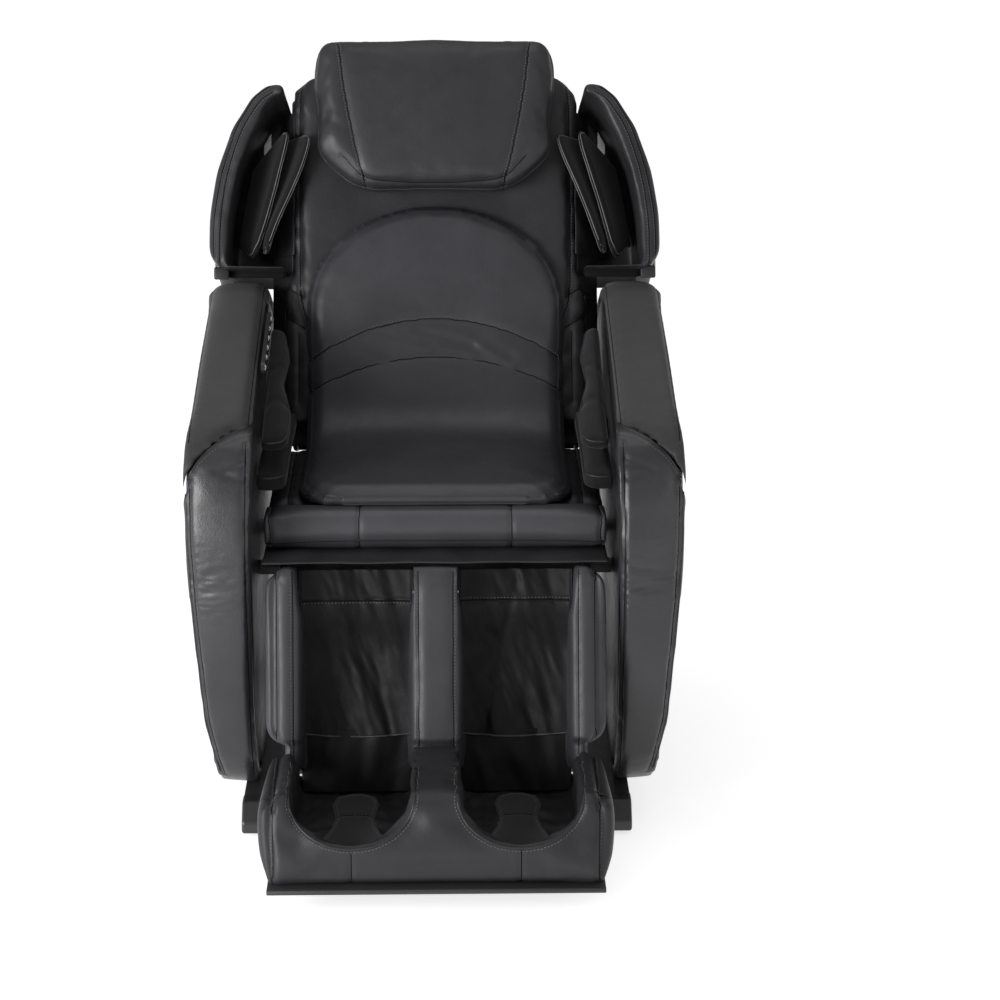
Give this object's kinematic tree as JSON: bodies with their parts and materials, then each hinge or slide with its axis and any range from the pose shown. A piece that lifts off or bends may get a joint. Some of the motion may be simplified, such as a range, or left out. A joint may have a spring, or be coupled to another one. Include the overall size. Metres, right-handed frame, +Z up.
{
  "type": "massage chair",
  "caption": "Reclining massage chair with a lifting leg rest, foot wells, shoulder pods, padded arms, a roller track in the back and a steel base.",
  "frame": {"origin": "on the floor, under the centre of the chair's bounding box", "axes": "+Z up, -Y the way the sitter faces, +X the sitter's left"},
  "size_m": [0.752, 1.1556, 1.1285],
  "materials": {
    "arm_front_pad_left": "semi-matt grained PU leather",
    "arm_front_pad_right": "semi-matt grained PU leather",
    "arm_pad_left": "semi-matt grained PU leather",
    "arm_pad_right": "semi-matt grained PU leather",
    "arm_shell_left": "satin plastic",
    "arm_shell_right": "satin plastic",
    "back_actuator_rod": "satin",
    "back_actuator_tube": "satin plastic",
    "back_cushion": "semi-matt grained PU leather",
    "back_frame": "satin",
    "back_pad": "semi-matt grained PU leather",
    "back_shell": "satin plastic",
    "base_cover_left": "satin plastic",
    "base_cover_right": "satin plastic",
    "base_frame": "satin",
    "button_1": "satin chrome",
    "button_2": "satin chrome",
    "button_3": "satin chrome",
    "button_4": "satin chrome",
    "button_5": "satin chrome",
    "button_6": "satin chrome",
    "calf_rest": "semi-matt grained PU leather",
    "control_strip": "satin plastic",
    "foot_rest": "semi-matt grained PU leather",
    "forearm_flap_left": "matt woven fabric",
    "forearm_flap_right": "matt woven fabric",
    "forearm_pad_left": "matt woven fabric",
    "forearm_pad_right": "matt woven fabric",
    "head_pillow": "semi-matt grained PU leather",
    "insole_left": "matt woven fabric",
    "insole_right": "matt woven fabric",
    "leg_actuator_rod": "satin",
    "leg_actuator_tube": "satin plastic",
    "leg_frame": "satin",
    "massage_arm_left": "satin",
    "massage_arm_right": "satin",
    "massage_carriage": "satin",
    "massage_roller_lower_left": "matt",
    "massage_roller_lower_right": "matt",
    "massage_roller_upper_left": "matt",
    "massage_roller_upper_right": "matt",
    "power_box": "satin plastic",
    "power_inlet": "satin plastic",
    "power_switch": "satin plastic",
    "rubber_foot_left": "matt",
    "rubber_foot_right": "matt",
    "seat_cushion": "semi-matt grained PU leather",
    "seat_frame": "satin",
    "seat_front_roll": "semi-matt grained PU leather",
    "seat_pad": "semi-matt grained PU leather",
    "shoulder_flap_inner_left": "matt woven fabric",
    "shoulder_flap_inner_right": "matt woven fabric",
    "shoulder_flap_outer_left": "matt woven fabric",
    "shoulder_flap_outer_right": "matt woven fabric",
    "shoulder_pod_left": "semi-matt grained PU leather",
    "shoulder_pod_right": "semi-matt grained PU leather",
    "shoulder_trim_left": "satin chrome",
    "shoulder_trim_right": "satin chrome",
    "wheel_left": "matt",
    "wheel_right": "matt"
  },
  "bodies": {
    "base": {"base_frame": "base_frame", "base_cover_right": "base_cover_right", "base_cover_left": "base_cover_left", "rubber_foot_right": "rubber_foot_right", "rubber_foot_left": "rubber_foot_left", "power_box": "power_box", "power_inlet": "power_inlet", "seat_frame": "seat_frame", "seat_cushion": "seat_cushion", "seat_front_roll": "seat_front_roll", "seat_pad": "seat_pad", "arm_shell_right": "arm_shell_right", "arm_shell_left": "arm_shell_left", "arm_pad_right": "arm_pad_right", "arm_pad_left": "arm_pad_left", "arm_front_pad_right": "arm_front_pad_right", "arm_front_pad_left": "arm_front_pad_left", "forearm_pad_right": "forearm_pad_right", "forearm_pad_left": "forearm_pad_left", "control_strip": "control_strip"},
    "backrest": {"back_frame": "back_frame", "back_shell": "back_shell", "back_cushion": "back_cushion", "back_pad": "back_pad", "shoulder_pod_right": "shoulder_pod_right", "shoulder_pod_left": "shoulder_pod_left", "shoulder_trim_right": "shoulder_trim_right", "shoulder_trim_left": "shoulder_trim_left"},
    "legrest": {"leg_frame": "leg_frame", "calf_rest": "calf_rest"},
    "footrest": {"foot_rest": "foot_rest"},
    "pillow": {"head_pillow": "head_pillow"},
    "carriage": {"massage_carriage": "massage_carriage"},
    "switch": {"power_switch": "power_switch"},
    "forearm_flap_right": {"forearm_flap_right": "forearm_flap_right"},
    "shoulder_flap_inner_right": {"shoulder_flap_inner_right": "shoulder_flap_inner_right"},
    "shoulder_flap_outer_right": {"shoulder_flap_outer_right": "shoulder_flap_outer_right"},
    "insole_right": {"insole_right": "insole_right"},
    "wheel_right": {"wheel_right": "wheel_right"},
    "massage_arm_right": {"massage_arm_right": "massage_arm_right"},
    "roller_lower_right": {"massage_roller_lower_right": "massage_roller_lower_right"},
    "roller_upper_right": {"massage_roller_upper_right": "massage_roller_upper_right"},
    "forearm_flap_left": {"forearm_flap_left": "forearm_flap_left"},
    "shoulder_flap_inner_left": {"shoulder_flap_inner_left": "shoulder_flap_inner_left"},
    "shoulder_flap_outer_left": {"shoulder_flap_outer_left": "shoulder_flap_outer_left"},
    "insole_left": {"insole_left": "insole_left"},
    "wheel_left": {"wheel_left": "wheel_left"},
    "massage_arm_left": {"massage_arm_left": "massage_arm_left"},
    "roller_lower_left": {"massage_roller_lower_left": "massage_roller_lower_left"},
    "roller_upper_left": {"massage_roller_upper_left": "massage_roller_upper_left"},
    "button_1": {"button_1": "button_1"},
    "button_2": {"button_2": "button_2"},
    "button_3": {"button_3": "button_3"},
    "button_4": {"button_4": "button_4"},
    "button_5": {"button_5": "button_5"},
    "button_6": {"button_6": "button_6"},
    "leg_actuator_tube": {"leg_actuator_tube": "leg_actuator_tube"},
    "leg_actuator_rod": {"leg_actuator_rod": "leg_actuator_rod"},
    "back_actuator_tube": {"back_actuator_tube": "back_actuator_tube"},
    "back_actuator_rod": {"back_actuator_rod": "back_actuator_rod"}
  },
  "joints": [
    {"name": "recline", "type": "hinge", "parent": "base", "child": "backrest", "pos_m": [0, 0.2324, 0.42], "axis": [-1, 0, 0], "range_deg": [0, 42]},
    {"name": "leg_lift", "type": "hinge", "parent": "base", "child": "legrest", "pos_m": [0, -0.2226, 0.385], "axis": [-1, 0, 0], "range_deg": [0, 75]},
    {"name": "foot_slide", "type": "slide", "parent": "legrest", "child": "footrest", "axis": [0, -0.2588, -0.9659], "range_m": [0, 0.11]},
    {"name": "pillow_flip", "type": "hinge", "parent": "backrest", "child": "pillow", "pos_m": [0, 0.48326, 1.07351], "axis": [-1, 0, 0], "range_deg": [0, 100]},
    {"name": "shoulder_flap_inner_right_swing", "type": "hinge", "parent": "backrest", "child": "shoulder_flap_inner_right", "pos_m": [-0.2825, 0.42552, 0.87287], "axis": [-0.1435, -0.3547, -0.9239], "range_deg": [0, 4]},
    {"name": "shoulder_flap_outer_right_swing", "type": "hinge", "parent": "backrest", "child": "shoulder_flap_outer_right", "pos_m": [-0.3125, 0.4171, 0.85093], "axis": [-0.1825, -0.3523, -0.9179], "range_deg": [0, 6]},
    {"name": "forearm_flap_right_press", "type": "hinge", "parent": "base", "child": "forearm_flap_right", "pos_m": [-0.2645, 0.0074, 0.63], "axis": [0, 0.9563, 0.2924], "range_deg": [0, 10]},
    {"name": "shoulder_flap_inner_left_swing", "type": "hinge", "parent": "backrest", "child": "shoulder_flap_inner_left", "pos_m": [0.2825, 0.42552, 0.87287], "axis": [-0.1435, 0.3547, 0.9239], "range_deg": [0, 4]},
    {"name": "shoulder_flap_outer_left_swing", "type": "hinge", "parent": "backrest", "child": "shoulder_flap_outer_left", "pos_m": [0.3125, 0.4171, 0.85093], "axis": [-0.1825, 0.3523, 0.9179], "range_deg": [0, 6]},
    {"name": "forearm_flap_left_press", "type": "hinge", "parent": "base", "child": "forearm_flap_left", "pos_m": [0.2645, 0.0074, 0.63], "axis": [0, -0.9563, -0.2924], "range_deg": [0, 10]},
    {"name": "button_1_press", "type": "slide", "parent": "base", "child": "button_1", "axis": [-1, 0, 0], "range_m": [0, 0.0015], "stiffness_N_per_m": 300},
    {"name": "button_2_press", "type": "slide", "parent": "base", "child": "button_2", "axis": [-1, 0, 0], "range_m": [0, 0.0015], "stiffness_N_per_m": 300},
    {"name": "button_3_press", "type": "slide", "parent": "base", "child": "button_3", "axis": [-1, 0, 0], "range_m": [0, 0.0015], "stiffness_N_per_m": 300},
    {"name": "button_4_press", "type": "slide", "parent": "base", "child": "button_4", "axis": [-1, 0, 0], "range_m": [0, 0.0015], "stiffness_N_per_m": 300},
    {"name": "button_5_press", "type": "slide", "parent": "base", "child": "button_5", "axis": [-1, 0, 0], "range_m": [0, 0.0015], "stiffness_N_per_m": 300},
    {"name": "button_6_press", "type": "slide", "parent": "base", "child": "button_6", "axis": [-1, 0, 0], "range_m": [0, 0.0015], "stiffness_N_per_m": 300},
    {"name": "power_switch_rock", "type": "hinge", "parent": "base", "child": "switch", "pos_m": [0.033, 0.3959, 0.093], "axis": [1, 0, 0], "range_deg": [0, 10]},
    {"name": "wheel_right_spin", "type": "hinge", "parent": "base", "child": "wheel_right", "pos_m": [-0.2675, 0.4124, 0.032], "axis": [1, 0, 0], "continuous": true},
    {"name": "wheel_left_spin", "type": "hinge", "parent": "base", "child": "wheel_left", "pos_m": [0.2675, 0.4124, 0.032], "axis": [1, 0, 0], "continuous": true},
    {"name": "carriage_travel", "type": "slide", "parent": "backrest", "child": "carriage", "axis": [0, 0.3584, 0.9336], "range_m": [-0.17, 0.17]},
    {"name": "massage_arm_right_knead", "type": "hinge", "parent": "carriage", "child": "massage_arm_right", "pos_m": [-0.062, 0.4063, 0.7335], "axis": [1, 0, 0], "range_deg": [-8, 8]},
    {"name": "roller_lower_right_spin", "type": "hinge", "parent": "massage_arm_right", "child": "roller_lower_right", "pos_m": [-0.076, 0.37746, 0.69744], "axis": [1, 0, 0], "continuous": true},
    {"name": "roller_upper_right_spin", "type": "hinge", "parent": "massage_arm_right", "child": "roller_upper_right", "pos_m": [-0.076, 0.409, 0.7796], "axis": [1, 0, 0], "continuous": true},
    {"name": "massage_arm_left_knead", "type": "hinge", "parent": "carriage", "child": "massage_arm_left", "pos_m": [0.062, 0.4063, 0.7335], "axis": [1, 0, 0], "range_deg": [-8, 8]},
    {"name": "roller_lower_left_spin", "type": "hinge", "parent": "massage_arm_left", "child": "roller_lower_left", "pos_m": [0.076, 0.37746, 0.69744], "axis": [1, 0, 0], "continuous": true},
    {"name": "roller_upper_left_spin", "type": "hinge", "parent": "massage_arm_left", "child": "roller_upper_left", "pos_m": [0.076, 0.409, 0.7796], "axis": [1, 0, 0], "continuous": true},
    {"name": "leg_actuator_tube_swing", "type": "hinge", "parent": "base", "child": "leg_actuator_tube", "pos_m": [0.103, 0.3204, 0.146], "axis": [1, 0, 0], "range_deg": [0, 6.97]},
    {"name": "leg_actuator_rod_travel", "type": "slide", "parent": "leg_actuator_tube", "child": "leg_actuator_rod", "axis": [0, -0.928, 0.3726], "range_m": [0, 0.0893]},
    {"name": "back_actuator_tube_swing", "type": "hinge", "parent": "base", "child": "back_actuator_tube", "pos_m": [-0.1005, 0.3404, 0.146], "axis": [1, 0, 0], "range_deg": [0, 2.29]},
    {"name": "back_actuator_rod_travel", "type": "slide", "parent": "back_actuator_tube", "child": "back_actuator_rod", "axis": [0, -0.6229, 0.7823], "range_m": [0, 0.0711]},
    {"name": "insole_right_lift", "type": "slide", "parent": "footrest", "child": "insole_right", "axis": [0, 0.2588, 0.9659], "range_m": [0, 0.1]},
    {"name": "insole_left_lift", "type": "slide", "parent": "footrest", "child": "insole_left", "axis": [0, 0.2588, 0.9659], "range_m": [0, 0.1]}
  ],
  "couplings": [
    {"joint": "foot_slide", "follows": "leg_lift", "m_per_rad": 0.08396},
    {"joint": "leg_actuator_tube_swing", "follows": "leg_lift", "ratio": 0.09232},
    {"joint": "leg_actuator_rod_travel", "follows": "leg_lift", "m_per_rad": 0.06807},
    {"joint": "back_actuator_tube_swing", "follows": "recline", "ratio": 0.05332},
    {"joint": "back_actuator_rod_travel", "follows": "recline", "m_per_rad": 0.09676}
  ]
}
